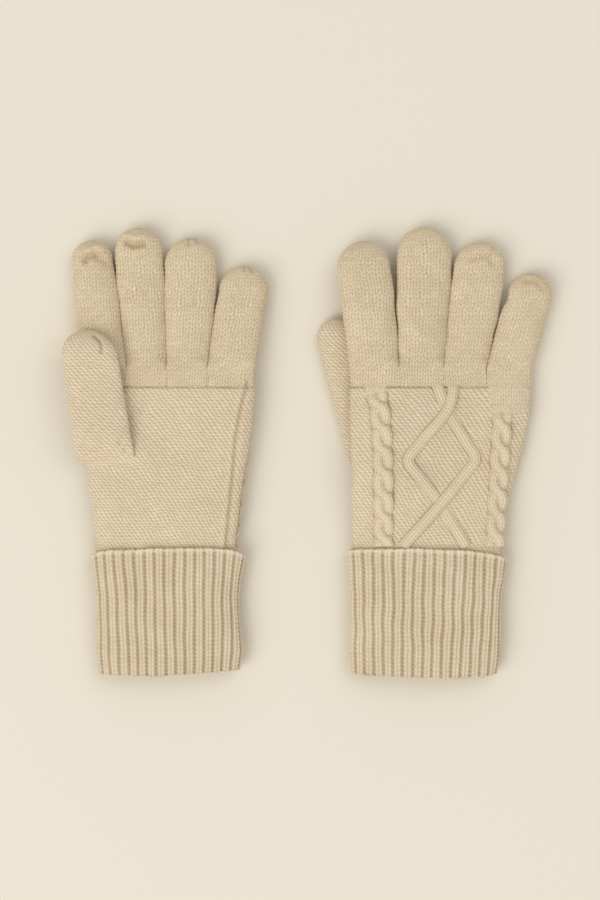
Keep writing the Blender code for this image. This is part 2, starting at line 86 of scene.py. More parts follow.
# ---- Stitches ---------------------------------------------------------------------------
PLAIN_ROW, PLAIN_RELIEF = 2.35, 0.62
PURL_ROW, PURL_RELIEF = 1.75, 0.5
RIB_ROW, RIB_RELIEF = 2.35, 1.55
HAND_WALES = 72                 # purl stitches round the hand
FINGER_WALES = 19
THUMB_WALES = 24
CUFF_RIBS = 33                  # knit and purl pairs round the cuff
HAND_POINTS = 6                 # mesh columns to a stitch of the hand or the thumb
FINGER_POINTS = 7
RIB_POINTS = 10
HAND_ROWS = 274                 # mesh rows in the hand
FINGER_STEPS = 5.6              # mesh rows to a row of stitches
THUMB_STEPS = 5.0
RIB_STEPS = 5.0
STITCH_SPREAD = 0.12            # how much one stitch's height differs from the next
RIB_SPREAD = 0.06
ROPE_TURN = 24.6                # length of a full turn of a rope cable's strand
ROPE_START = 9.0                # from a rope cable's top to its first crossing
ROPE_SWING = 2.95               # how far a strand swings to each side
ROPE_ROW = 2.5
STRAND_HALF_WIDTH = 3.3
CABLE_STEP = 0.34               # between the mesh rows of a cable
ROUTE_SAMPLES = 2001            # points that measure a cable's route
CORD_SPANS = 6.0                # between the seven points of a diamond cord's route


def finger(name, root_width, tip_width, tip_y, tip_gap, bend_y=None):
    return SimpleNamespace(name=name, root_width=root_width, tip_width=tip_width,
                           tip_y=tip_y, tip_gap=tip_gap, bend_y=bend_y)


LEFT = SimpleNamespace(
    name="left", palm=1, x=-77.3, seed=11,
    band_x=-0.3, wrist_x=-1.6, wrist_width=78.6, leg_x=0.5, leg_bottom_width=74.4,
    turn_up_x=-0.6, turn_up_flare=3.9, tips_x=0.7,
    cuff_sides=((-125.0, -0.2, -0.4), (-112.0, -0.3, 2.2), (-97.0, 0.9, -0.8),
                (-80.0, 1.7, -2.6), (-66.0, 1.1, -1.4), (-53.0, 0.2, 0.6)),
    cuff_top=((-1.0, -4.4), (-0.9, -1.3), (-0.7, -0.4), (0.1, 0.9), (0.55, 0.9), (0.77, 0.1),
              (0.87, -0.8), (1.0, -4.4)),
    cuff_foot=((-1.0, 1.3), (-0.6, 0.5), (-0.1, 0.2), (0.5, 2.0), (0.85, 3.2), (1.0, 4.6)),
    thumb_root_x=-34.5, thumb_tip_x=-45.0, thumb_root_y=-2.5,
    thumb_tip_y=69.0, thumb_root_width=33.0, thumb_tip_width=30.5,
    fingers=(
        finger("index", 25.5, 23.2, 119.8, 0.9, bend_y=71.0),
        finger("middle", 21.2, 27.0, 126.8, 0.9),
        finger("ring", 21.6, 29.8, 121.0, 0.9),
        finger("little", 26.4, 27.4, 105.3, 0.0)),
    rope_x=((-21.0, 37.0), (-21.5, 10.0), (-24.0, -49.0)),
    far_rope_x=((40.5, 30.0), (40.0, 10.0), (33.5, -49.0)),
    diamond=((9.0, 35.0), (5.3, 24.6), (-7.0, 6.0), (-12.6, -3.5), (-6.2, -13.0),
             (4.4, -28.0), (15.5, -48.0)),
    diamond_return=((1.6, 35.0), (5.3, 24.6), (18.0, 7.0), (23.4, -2.5), (16.6, -12.0),
                    (4.4, -28.0), (-8.0, -48.0)),
    creases=(                   # each a line, its depth and its width
        (((-117.8, 65.6), (-115.1, 63.6), (-113.6, 60.5), (-113.3, 56.5)), 1.5, 1.0),
        (((-123.6, 108.0), (-121.6, 110.4), (-118.6, 112.0)), 2.3, 2.1),
        (((-121.0, 114.6), (-117.6, 116.4), (-113.6, 115.2)), -0.7, 1.6),
        (((-116.0, 109.6), (-112.4, 107.2)), 1.1, 2.4),
        (((-100.6, 118.6), (-96.4, 116.6), (-91.4, 117.4)), 2.7, 2.0),
        (((-101.0, 122.6), (-96.0, 121.0), (-91.0, 121.6)), -0.7, 1.5),
        (((-66.2, 123.5), (-65.8, 117.2)), 0.8, 0.8),
        (((-64.2, 123.0), (-60.0, 118.0)), 0.7, 0.8),
        (((-34.9, 107.5), (-34.6, 103.0)), 0.6, 0.8),
        (((-32.5, 106.5), (-30.2, 101.6)), 0.8, 0.9),
        (((-104.4, 6.4), (-102.8, 4.6)), 0.9, 0.7), (((-101.0, 3.0), (-100.6, 1.6)), 0.9, 0.7),
        (((-32.4, 40.0), (-36.4, 24.5), (-39.0, 10.0), (-40.4, -8.0), (-42.2, -27.0),
          (-45.0, -55.0)), 1.1, 1.2),
        (((-34.6, 40.0), (-38.6, 24.5), (-41.2, 10.0), (-42.6, -8.0), (-44.4, -27.0),
          (-47.2, -55.0)), -0.6, 1.5)))

RIGHT = SimpleNamespace(
    name="right", palm=-1, x=66.4, seed=47,
    band_x=8.7, wrist_x=0.9, wrist_width=83.4, leg_x=-0.8, leg_bottom_width=77.6,
    turn_up_x=0.9, turn_up_flare=0.9, tips_x=11.0,
    cuff_sides=((-125.0, 0.3, -0.3), (-112.0, 0.2, 0.6), (-97.0, 0.4, 0.4),
                (-83.0, 0.9, -1.0), (-66.0, 0.5, 0.2), (-53.0, 0.0, 0.4)),
    cuff_top=((-1.0, -0.6), (-0.8, 0.3), (-0.1, 0.6), (0.55, -0.8), (0.85, -2.8), (1.0, -6.0)),
    cuff_foot=((-1.0, 2.6), (-0.8, 0.8), (-0.2, -0.4), (0.3, -1.1), (0.8, 0.0), (1.0, 2.2)),
    thumb_root_x=-27.5, thumb_tip_x=-48.5, thumb_root_y=-4.0,
    thumb_tip_y=76.2, thumb_root_width=31.0, thumb_tip_width=30.0,
    fingers=(
        finger("index", 27.0, 29.6, 119.3, 4.2, bend_y=77.8),
        finger("middle", 24.0, 30.6, 127.1, 0.9),
        finger("ring", 23.0, 29.4, 118.7, 0.9),
        finger("little", 25.2, 25.0, 101.4, 0.0)),
    rope_x=((-28.0, 34.0), (-24.5, 10.0), (-23.5, -49.0)),
    far_rope_x=((43.0, 23.0), (42.0, 5.0), (38.8, -49.0)),
    diamond=((15.7, 35.0), (12.0, 24.6), (-3.2, 6.0), (-9.8, -3.5), (-3.4, -13.0),
             (8.2, -28.0), (20.5, -48.0)),
    diamond_return=((6.2, 35.0), (12.0, 24.6), (22.4, 7.0), (27.8, -2.8), (21.4, -12.0),
                    (8.2, -28.0), (-9.5, -48.0)),
    creases=(
        (((92.6, 108.6), (97.2, 110.6), (101.6, 110.4), (104.2, 106.4)), 0.9, 2.0),
        (((123.2, 97.0), (128.2, 96.6), (131.4, 92.6)), 0.9, 1.7),
        (((105.6, 118.0), (103.2, 112.0)), 0.5, 0.9)))


# ---- Small maths ------------------------------------------------------------------------
def ease(low, high, value):
    """0 below low, 1 above high, and a smooth rise between."""
    share = np.clip((value - low) / (high - low), 0.0, 1.0)
    return share * share * (3.0 - 2.0 * share)


def mix(first, second, share):
    """The first value at share 0, the second at share 1."""
    return first + (second - first) * share


def power(value, exponent):
    """The value's power, with its sign kept."""
    return np.sign(value) * np.abs(value) ** exponent


def bump(value, width):
    """1 at value 0, falling away to 0 over about twice the width."""
    return np.exp(-(value / width) ** 2)


def wander(points, size, seed):
    """A smooth drift between about -1 and 1, from a few crossing waves."""
    draw = np.random.default_rng(seed)
    total = np.zeros(points.shape[:-1])
    for _ in range(6):
        way = draw.normal(size=3)
        way *= 2.0 * pi / (size * draw.uniform(0.7, 1.5) * np.linalg.norm(way))
        total += np.sin(points @ way + draw.uniform(0.0, 2.0 * pi))
    return total / 3.0


def uneven(height, a, b, wales, spread):
    """The stitches' heights with a steady difference, by chance, from one to the next."""
    mixed = np.sin(np.floor(a) % wales * 12.9898 + np.floor(b) * 78.233) * 43758.5453
    return height * (1.0 + spread * (2.0 * (mixed % 1.0) - 1.0))


def smooth_route(points, shares):
    """Points on the smooth curve through a route's own points."""
    points = np.array(points)
    place = shares * (len(points) - 1)
    index = np.minimum(place.astype(int), len(points) - 2)
    local = (place - index)[:, None]
    a, b = points[np.maximum(index - 1, 0)], points[index]
    c, d = points[index + 1], points[np.minimum(index + 2, len(points) - 1)]
    return 0.5 * (2.0 * b + (c - a) * local + (2.0 * a - 5.0 * b + 4.0 * c - d) * local ** 2
                  + (3.0 * b - a - 3.0 * c + d) * local ** 3)


def smooth_table(table, value):
    """A value between a table's points, with its corners rounded."""
    places, numbers = np.array(table).T
    steps = np.linspace(-0.06, 0.06, 7)
    return sum(np.interp(value + step, places, numbers) for step in steps) / len(steps)


# ---- The glove's outline and its thickness ----------------------------------------------
def band_width(glove):
    widths = sum(each.root_width for each in glove.fingers)
    return widths + FINGER_GAP * (len(glove.fingers) - 1)


def hand_half_width(glove, y):
    return 0.5 * mix(glove.wrist_width, band_width(glove), ease(PANEL_BOTTOM, PANEL_TOP, y))


def hand_middle(glove, y):
    return glove.x + mix(glove.wrist_x, glove.band_x, ease(PANEL_BOTTOM, PANEL_TOP, y))


def hand_half_height(y):
    return mix(WRIST_HALF_HEIGHT, HAND_HALF_HEIGHT, ease(TURN_UP_TOP, TURN_UP_TOP + 25.0, y))


TURN_UP_HALF_HEIGHT = WRIST_HALF_HEIGHT + TURN_UP_CLEARANCE + RIB_WALL
CUFF_MIDDLE_HEIGHT = TURN_UP_HALF_HEIGHT - SETTLED


def middle_height(glove, y):
    """Height of the middle of the flattened tube above the table."""
    hand = PALM_DOWN_MIDDLE if glove.palm < 0 else PALM_UP_MIDDLE
    rise = mix(CUFF_MIDDLE_HEIGHT, hand, ease(TURN_UP_TOP, TURN_UP_TOP + 22.0, y))
    return mix(rise, FINGER_HALF_HEIGHT + GAP, ease(PANEL_TOP, 2.9 * PANEL_TOP, y))


def raised(glove, x, y):
    """Extra height over a thumb that lies under the palm."""
    if glove.palm > 0:
        return np.zeros(np.broadcast(x, y).shape)
    start = glove.x + glove.thumb_root_x
    across = 1.0 - ease(start, start + THUMB_LIFT_SIDE, x)
    before = ease(TURN_UP_TOP, glove.thumb_root_y - 4.0, y)
    after = 1.0 - ease(glove.thumb_tip_y - 4.0, glove.thumb_tip_y + THUMB_LIFT_END, y)
    return 2.0 * THUMB_HALF_HEIGHT * across * before * after


def hand_reach(glove, x, y):
    """How thick the hand is at x, as a share of its middle thickness."""
    share = np.abs(x - hand_middle(glove, y)) / hand_half_width(glove, y)
    return (1.0 - np.minimum(share, 1.0) ** SQUARENESS) ** (1.0 / SQUARENESS)


def finger_lines(glove):
    """Each finger with the middle of its root and of its widest place, along X."""
    root = glove.x + glove.band_x - 0.5 * band_width(glove)
    tips = sum(each.tip_width + each.tip_gap for each in glove.fingers)
    tip = glove.x + glove.tips_x - 0.5 * tips
    for each in glove.fingers:
        yield each, root + 0.5 * each.root_width, tip + 0.5 * each.tip_width
        root += each.root_width + FINGER_GAP
        tip += each.tip_width + each.tip_gap


# ---- Stitches' heights, from 0 at the deepest to 1 --------------------------------------
def plain_knit(a, b):
    """Columns of V: each stitch is two legs that lean apart upwards."""
    leg = np.abs(a % 1.0 - 0.5)
    ridge = np.abs(np.sin(2.0 * pi * leg)) ** 0.7
    loop = 0.5 + 0.5 * np.cos(2.0 * pi * (b - 1.5 * leg))
    return (0.16 + 0.84 * ridge) * (0.5 + 0.5 * loop)


def purl_knit(a, b):
    """Wavy rows of yarn, linked by slanting bars with a deep hollow between each two."""
    row = np.floor(b)
    within = b - row - 0.5
    side = a + 0.42 * within + 0.5 * (row % 2.0)
    hollow = np.abs(np.sin(pi * side)) ** 1.8
    bend = 0.3 * np.sin(2.0 * pi * side) * np.cos(pi * within) ** 2
    low = np.abs(np.cos(pi * (within - bend))) ** 0.7
    return 1.0 - low * (0.3 + 0.7 * hollow)


def rib_knit(a, b):
    """A proud column of V stitches, and a sunk column of slanting purl bars."""
    across = np.abs(a % 1.0 - 0.5)
    wale = np.clip((np.cos(2.0 * pi * across) + 0.86) / 1.15, 0.0, 1.0) ** 0.45
    loop = 0.5 + 0.5 * np.cos(2.0 * pi * (b - 1.7 * across))
    leg = bump(across - 0.2, 0.12) * (0.1 + 0.9 * loop)
    hollow = bump(across, 0.07) * (0.2 + 0.8 * loop)
    bar = 0.3 * (1.0 - wale) * (0.5 + 0.5 * np.cos(2.0 * pi * (b + 1.6 * a)))
    return np.minimum(wale * (0.56 + 0.48 * leg - 0.3 * hollow) + bar, 1.0)


def loosened(points, a, b, seed):
    """Stitch places moved a little, as hand-worked rows wander."""
    a = a + 0.13 * wander(points, 9.0, seed) + 0.05 * wander(points, 3.5, seed + 3)
    b = b + 0.24 * wander(points, 12.0, seed + 1) + 0.07 * wander(points, 3.0, seed + 4)
    return a, b


def pressed(glove, points):
    """How deep each point is pushed in by the glove's creases, ridges and dimples."""
    depth = np.zeros(points.shape[:-1])
    plan, top = points[..., :2], outward(points, closed_across=True)[..., 2] > 0.0
    for route, deep, wide in glove.creases:
        nearest = np.full(depth.shape, 1e9)
        for first, second in zip(np.array(route), np.array(route)[1:]):
            run = second - first
            share = np.clip(((plan - first) @ run) / (run @ run), 0.0, 1.0)
            gap = np.linalg.norm(plan - first - share[..., None] * run, axis=-1)
            nearest = np.minimum(nearest, gap)
        depth += deep * bump(nearest, wide)
    return depth * top


def hollow_shade(push):
    """Painted shade: the wool's colour darkened down in a crease."""
    return 1.0 - 0.5 * np.clip(0.6 * push, 0.0, 1.0)


# ---- Laying a knitted surface down ------------------------------------------------------
bpy.ops.object.select_all(action="DESELECT")


def outward(points, closed_across=False, closed_along=False):
    """The direction that each point of a grid faces."""
    across, along = np.gradient(points, axis=1), np.gradient(points, axis=0)
    if closed_across:
        across[:, 0] = across[:, -1] = points[:, 1] - points[:, -2]
    if closed_along:
        along[0] = along[-1] = points[1] - points[-2]
    normal = np.cross(across, along)
    return normal / np.maximum(np.linalg.norm(normal, axis=2, keepdims=True), 1e-9)


def lay(name, points, stitch_shade, stitches, material):
    """A grid of faces on rows of points, with its meeting edges and poles welded."""
    rows, columns = points.shape[:2]
    bpy.ops.mesh.primitive_grid_add(
        x_subdivisions=columns - 1, y_subdivisions=rows - 1, size=1.0)
    piece = bpy.context.object
    piece.name = piece.data.name = name
    mesh = piece.data
    places = (points - PAIR_MIDDLE) * METRES
    places[..., 2] = np.maximum(places[..., 2], TABLE_CLEARANCE)
    mesh.vertices.foreach_set("co", places.astype(np.float32).ravel())
    # Painted shade: this attribute darkens the colour down between the stitches, in creases and
    # beside steps in the knitting.
    mesh.attributes.new("stitch_shade", "FLOAT", "POINT").data.foreach_set(
        "value", stitch_shade.astype(np.float32).ravel())
    corners = np.empty(len(mesh.loops), np.int32)
    mesh.loops.foreach_get("vertex_index", corners)
    mesh.uv_layers[0].name = "OFBake"
    spots = np.stack(stitches, axis=2).reshape(-1, 2)[corners]
    mesh.uv_layers.new(name="Stitches", do_init=False).uv.foreach_set(
        "vector", spots.astype(np.float32).ravel())
    bpy.ops.object.mode_set(mode="EDIT")
    bpy.ops.mesh.select_all(action="SELECT")
    bpy.ops.mesh.remove_doubles(threshold=WELD_DISTANCE)
    bpy.ops.object.mode_set(mode="OBJECT")
    bpy.ops.object.shade_smooth()
    mesh.materials.append(material)
    piece.select_set(False)
    return piece


def even_rings(x, z, weights, columns):
    """Rows of closed loops, each spaced evenly along its weighted length."""
    steps = np.hypot(np.diff(x, axis=1), np.diff(z, axis=1)) * weights
    arcs = np.concatenate((np.zeros((len(x), 1)), np.cumsum(steps, axis=1)), axis=1)
    spots = np.linspace(0.0, 1.0, columns + 1)
    even = [[np.interp(spots, arc / max(arc[-1], 1e-9), line) for line in (xs, zs)]
            for arc, xs, zs in zip(arcs, x, z)]
    even = np.array(even)
    even[:, :, -1] = even[:, :, 0]
    return even[:, 0], even[:, 1]


def knitted_tube(x, y, z, wales, per_wale, weights=1.0):
    """Points of a tube with even columns round it, and the wale that each one is on."""
    columns = per_wale * wales
    x, z = even_rings(x, z, weights, columns)
    points = np.stack((x, np.broadcast_to(y, x.shape), z), axis=2)
    return points, np.broadcast_to(np.arange(columns + 1) / per_wale, x.shape)


RING = np.linspace(pi, -pi, 1441)[None, :]         # angles round a tube, from its left side


# ---- Materials --------------------------------------------------------------------------
def linear(red, green, blue):
    """A colour as it is named on a screen, in the shader's own numbers."""
    return tuple(((c / 255.0 + 0.055) / 1.055) ** 2.4 for c in (red, green, blue)) + (1.0,)


class Strand:
    """One output of a material's nodes; sums on it add Math nodes."""

    def __init__(self, tree, socket):
        self.tree, self.socket = tree, socket

    def sum(self, operation, first, second=0.0):
        node = self.tree.nodes.new("ShaderNodeMath")
        node.operation = operation
        for place, value in zip(node.inputs, (first, second)):
            if isinstance(value, Strand):
                self.tree.links.new(value.socket, place)
            else:
                place.default_value = value
        return Strand(self.tree, node.outputs[0])

    def __add__(self, other):
        return self.sum("ADD", self, other)

    def __sub__(self, other):
        return self.sum("SUBTRACT", self, other)

    def __rsub__(self, other):
        return self.sum("SUBTRACT", other, self)

    def __mul__(self, other):
        return self.sum("MULTIPLY", self, other)

    __radd__, __rmul__ = __add__, __mul__

    def wave(self):
        return self.sum("SINE", self * (2.0 * pi))


class Finish:
    """A material whose nodes are added one at a time."""

    def __init__(self, name):
        self.material = bpy.data.materials.new(name)
        self.material.use_nodes = True
        self.tree = self.material.node_tree
        self.shader = self.tree.nodes["Principled BSDF"]

    def node(self, kind, settings=None, sockets=None, out=0):
        """Adds a node, its settings first, and gives back one of its outputs."""
        node = self.tree.nodes.new(kind)
        for key, value in (settings or {}).items():
            setattr(node, key, value)
        self.fill(node, sockets or {})
        return Strand(self.tree, node.outputs[out])

    def fill(self, node, sockets):
        for key, value in sockets.items():
            if isinstance(value, Strand):
                self.tree.links.new(value.socket, node.inputs[key])
            else:
                node.inputs[key].default_value = value


def wool(name, deep, crest, roughness):
    """Soft spun yarn: painted shade down between the stitches, fuzzy, with a little heather."""
    finish = Finish(name)
    stitch_shade = finish.node("ShaderNodeAttribute", {"attribute_name": "stitch_shade"}, out="Fac")
    place = finish.node("ShaderNodeTexCoord", out="Object")
    noise = {"noise_dimensions": "3D"}
    drift = finish.node("ShaderNodeTexNoise", noise,
                        {"Vector": place, "Scale": 55.0, "Detail": 2.0, "Roughness": 0.5})
    fleck = finish.node("ShaderNodeTexNoise", noise,
                        {"Vector": place, "Scale": 1500.0, "Detail": 2.0, "Roughness": 0.6})
    fuzz = finish.node("ShaderNodeTexNoise", noise,
                       {"Vector": place, "Scale": 3200.0, "Detail": 3.0, "Roughness": 0.65})
    # Painted shade: the colour runs from the deep colour between the stitches to the crest
    # colour on top; the noise adds heather.
    share = stitch_shade * 0.94 + drift * 0.24 + fleck * 0.34 - 0.27
    colour = finish.node("ShaderNodeMix", {"data_type": "RGBA", "clamp_factor": True},
                         {"Factor": share, 6: deep, 7: crest}, out=2)
    spots = finish.node("ShaderNodeUVMap", {"uv_map": "Stitches"})
    wale, row = (finish.node("ShaderNodeSeparateXYZ", None, {"Vector": spots}, out=axis)
                 for axis in ("X", "Y"))
    ply = (wale * 5.0 + row * 4.0 + fleck * 1.5).wave()
    rough = finish.node("ShaderNodeBump", None,
                        {"Strength": 0.55, "Distance": 0.00022,
                         "Height": fuzz * 1.2 + ply * 0.16})
    finish.fill(finish.shader, {
        "Base Color": colour, "Normal": rough, "Roughness": roughness,
        "Specular IOR Level": 0.2, "Sheen Weight": 0.3, "Sheen Roughness": 0.5,
        "Sheen Tint": linear(236, 222, 196)})
    return finish.material


# Each wool's first colour is its painted shade down between the stitches, and its second is its
# colour on the stitches' crests.
PLAIN = wool("plain_knit_wool", linear(182, 158, 119), linear(238, 222, 195), 0.9)
PURL = wool("purl_knit_wool", linear(186, 162, 124), linear(239, 224, 199), 0.92)
RIB = wool("rib_knit_wool", linear(168, 143, 108), linear(243, 228, 202), 0.92)
TRIM = wool("cable_and_edge_wool", linear(182, 158, 120), linear(242, 227, 201), 0.9)


# ---- Hand -------------------------------------------------------------------------------
def plain_share(glove, points):
    """1 where the plain knitting above the panels reaches down to the top of a rope cable."""
    far = glove.x + glove.far_rope_x[0][0]
    near = glove.x + glove.rope_x[0][0]
    x, y, z = np.moveaxis(points, 2, 0)
    back = ease(-1.0, 1.0, -glove.palm * (z - middle_height(glove, y) - raised(glove, x, y)))
    down = (PANEL_TOP - glove.rope_x[0][1] + 3.0) * (1.0 - ease(4.6, 6.6, np.abs(x - near)))
    down_far = (PANEL_TOP - glove.far_rope_x[0][1] - 1.0) * ease(far - 8.0, far - 4.5, x)
    line = PANEL_TOP - np.maximum(down, down_far) * back
    return ease(line - 0.8, line + 0.8, y)


def make_hand(glove):
    """The tube from the cuff to the fingers, in purl, laid as its palm and its back."""
    y = np.linspace(PANEL_BOTTOM, PANEL_TOP + 0.6, HAND_ROWS + 1)[:, None]
    exponent = 2.0 / SQUARENESS
    x = hand_middle(glove, y) + hand_half_width(glove, y) * power(np.cos(RING), exponent)
    z = hand_half_height(y) * power(np.sin(RING), exponent)
    z = z + middle_height(glove, y) + raised(glove, x, y)
    points, a = knitted_tube(x, y, z, HAND_WALES, HAND_POINTS)
    b = (points[..., 1] - PANEL_BOTTOM) / PURL_ROW
    a, b = loosened(points, a, b, glove.seed)
    height = uneven(purl_knit(a, b), a, b, HAND_WALES, STITCH_SPREAD)
    plain = plain_share(glove, points)
    height = mix(height, plain_knit(a, (points[..., 1] - PANEL_TOP) / PLAIN_ROW), plain)
    edge = ease(PANEL_TOP - 1.8, PANEL_TOP + 0.6, points[..., 1])
    seam_dip = 0.45 * np.sin(pi * plain) + 0.7 * edge * (1.0 - plain)
    push = pressed(glove, points)
    rise = PURL_RELIEF * (height - 0.9) + 0.30 * wander(points, 16.0, glove.seed + 2)
    rise = rise - seam_dip - push - 0.3 * edge
    points = points + outward(points, closed_across=True) * rise[..., None]
    # Painted shade: the colour darkened just above the turned-up cuff, just below the plain
    # knitting's edge, and in creases.
    shade = 0.3 * (1.0 - ease(TURN_UP_TOP, TURN_UP_TOP + 4.5, points[..., 1]))
    stitch_shade = height * (1.0 - 0.5 * edge * (1.0 - plain) - shade) * hollow_shade(push)
    strip = 2.9 + 0.5 * PALM_STRIP          # wales from the far edge to the panels' seam
    last = HAND_POINTS * HAND_WALES
    seam = int(HAND_POINTS * round(0.5 * HAND_WALES - strip))
    halves = np.arange(0, seam + 1), np.arange(seam, last + 1)
    if glove.palm < 0:
        seam = last - seam
        halves = np.arange(seam, last + 1), np.arange(0, seam + 1)
    for part, columns in zip(("palm", "back"), halves):
        piece = lay(f"{glove.name}_{part}", points[:, columns], stitch_shade[:, columns],
                    (a[:, columns], b[:, columns]), PURL)
        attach(piece, f"{glove.name}_hand")
        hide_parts(f"{glove.name}_{part}_panel")
        if part == "palm":
            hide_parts(f"{glove.name}_thumb_join")


# ---- Fingers ----------------------------------------------------------------------------
def make_finger(glove, each, root_x, tip_x, order):
    """One finger with its share of the plain band below it, and its gathered tip."""
    radius = 0.5 * each.tip_width
    widest = each.tip_y - radius
    length = widest - PANEL_TOP + 0.5 * pi * radius
    rows = int(round(FINGER_STEPS * length / PLAIN_ROW))
    run = np.linspace(0.0, length, rows + 1)[:, None]
    turn = np.clip((run - (widest - PANEL_TOP)) / radius, 0.0, 0.5 * pi)
    y = np.where(turn > 0.0, widest + radius * np.sin(turn), PANEL_TOP + run)
    end = np.cos(turn)
    end[-1] = 0.0
    free = ease(FINGER_ROOT - 4.5, FINGER_ROOT + 8.0, y)      # 0 in the hand, 1 in the finger
    share = np.clip((y - FINGER_ROOT) / (widest - FINGER_ROOT), 0.0, 1.0)
    meet = 0.5 * FINGER_GAP + 0.5
    half_width = 0.5 * mix(each.root_width, each.tip_width, share) + meet * (1.0 - free)
    middle = mix(root_x, tip_x, share)
    pressing = 1.05 * free * (1.0 - ease(0.72, 1.0, share))      # on the finger beside it
    for side, beside in ((-0.5, order > 0), (0.5, order < len(glove.fingers) - 1)):
        half_width = half_width + 0.5 * pressing * (1.0 if beside else 0.2)
        middle = middle + side * pressing * (1.0 if beside else 0.2)
    exponent = 2.0 / mix(BAND_SQUARENESS, FINGER_SQUARENESS, free ** 0.5)
    x = middle + half_width * end * power(np.cos(RING), exponent)
    inside = np.clip(x, hand_middle(glove, y) - hand_half_width(glove, y),
                     hand_middle(glove, y) + hand_half_width(glove, y))
    x = mix(inside, x, free)
    rise = power(np.sin(RING), exponent)
    z = mix(hand_half_height(y) * hand_reach(glove, x, y) * np.sign(rise)
            * np.minimum(np.abs(rise) * 1.35, 1.0), FINGER_HALF_HEIGHT * end * rise, free)
    z = z + middle_height(glove, y) + raised(glove, x, y)
    sides = np.abs(np.diff(x, axis=1)) < 0.6 * np.abs(np.diff(z, axis=1))
    weights = np.where(sides, mix(0.2, 1.0, free), 1.0)
    points, a = knitted_tube(x, y, z, FINGER_WALES, FINGER_POINTS, weights)
    b = np.broadcast_to(run / PLAIN_ROW, a.shape)
    seed = glove.seed + 10 * (order + 1)
    a, b = loosened(points, a, b, seed)
    height = uneven(plain_knit(a, b), a, b, FINGER_WALES, STITCH_SPREAD)
    edge = 1.0 - ease(PANEL_TOP, PANEL_TOP + 1.2, points[..., 1])
    close = np.minimum(1.0, 0.15 + 1.2 * end)
    push = pressed(glove, points)
    rise = (PLAIN_RELIEF * (height - 0.9) * close
            + 0.28 * wander(points, 15.0, seed + 2) * close - 0.35 * edge - push)
    points = points + outward(points, closed_across=True) * rise[..., None]
    points[-1] = points[-1].mean(axis=0)
    # Painted shade: the colour darkened along the step down to the purl panel and in creases.
    stitch_shade = height * (1.0 - 0.35 * edge) * hollow_shade(push)
    piece = lay(f"{glove.name}_{each.name}_finger_knit", points, stitch_shade, (a, b), PLAIN)
    bend = each.bend_y or FINGER_ROOT
    low, high = ((bend - 7.0, bend + 9.0) if each.bend_y else (bend - 4.0, bend + 7.0))
    spot = tip_x if each.bend_y else root_x
    row_frame(spot, low, 8.0)
    row_frame(spot, high, 8.0)
    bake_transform(piece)
    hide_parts(f"{glove.name}_{each.name}_finger",
                f"{glove.name}_{each.name}_tip_yarn")
    if each.bend_y:
        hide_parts(f"{glove.name}_{each.name}_finger_base",
                    f"{glove.name}_knuckle_band")


def row_frame(x, y, z):
    """A place on the gloves, in the frame's metres."""
    return tuple((np.array((x, y, z)) - PAIR_MIDDLE) * METRES)


# ---- Thumb ------------------------------------------------------------------------------
def make_thumb(glove):
    """The thumb's flat tube; at its root it thins out into the palm."""
    radius = 0.5 * glove.thumb_tip_width
    root = glove.thumb_root_y - 9.0
    widest = glove.thumb_tip_y - radius
    length = widest - root + 0.5 * pi * radius
    rows = int(round(THUMB_STEPS * length / PURL_ROW))
    run = np.linspace(0.0, length, rows + 1)[:, None]
    turn = np.clip((run - (widest - root)) / radius, 0.0, 0.5 * pi)
    y = np.where(turn > 0.0, widest + radius * np.sin(turn), root + run)
    end = np.cos(turn)
    end[-1] = 0.0
    share = (y - glove.thumb_root_y) / (glove.thumb_tip_y - glove.thumb_root_y)
    half_width = 0.5 * mix(glove.thumb_root_width, glove.thumb_tip_width, share)
    middle = glove.x + mix(glove.thumb_root_x, glove.thumb_tip_x, share)
    edge = hand_middle(glove, y) - hand_half_width(glove, y) + 0.6
    out = ease(glove.thumb_root_y - 5.0, glove.thumb_root_y - 0.5, y)
    left = mix(np.maximum(edge, middle - half_width), middle - half_width, out)
    right = middle + half_width
    middle, half_width = 0.5 * (left + right), 0.5 * (right - left)
    exponent = 2.0 / SQUARENESS
    x = middle + half_width * end * power(np.cos(RING), exponent)
    rise = power(np.sin(RING), exponent)
    thick = mix(0.1, 1.0, ease(root + 3.0, glove.thumb_root_y + 15.0, y))
    z = THUMB_HALF_HEIGHT * thick * end * rise
    if glove.palm > 0:
        palm = middle_height(glove, y) + hand_half_height(y) * hand_reach(glove, x, y)
        flat = middle_height(glove, PANEL_TOP) + HAND_HALF_HEIGHT - 0.15
        floor = mix(palm - 1.9, flat, ease(root + 1.0, glove.thumb_root_y + 13.0, y))
        z = z + floor + THUMB_HALF_HEIGHT * mix(thick, end, ease(widest, glove.thumb_tip_y, y))
    else:
        z = z + THUMB_HALF_HEIGHT + 0.45 + (1.0 - thick) * THUMB_HALF_HEIGHT
    points, a = knitted_tube(x, y, z, THUMB_WALES, HAND_POINTS)
    b = np.broadcast_to((run + root - PANEL_BOTTOM) / PURL_ROW, a.shape)
    seed = glove.seed + 80
    a, b = loosened(points, a, b, seed)
    height = uneven(purl_knit(a, b), a, b, THUMB_WALES, STITCH_SPREAD)
    close = np.minimum(1.0, 0.15 + 1.2 * end) * np.minimum(1.0, 0.3 + thick)
    push = pressed(glove, points)
    rise = (PURL_RELIEF * (height - 0.9) + 0.25 * wander(points, 14.0, seed + 2)) * close - push
    points = points + outward(points, closed_across=True) * rise[..., None]
    points[-1] = points[-1].mean(axis=0)
    # Painted shade: the stitches' height and the creases darken the colour.
    piece = lay(f"{glove.name}_thumb_knit", points, height * hollow_shade(push),
                (a, b), PURL)
    row_frame(middle[0, 0], glove.thumb_root_y - 4.0, 8.0)
    row_frame(middle[0, 0], glove.thumb_root_y + 9.0, 8.0)
    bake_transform(piece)
    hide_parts(f"{glove.name}_thumb", f"{glove.name}_thumb_tip_yarn")


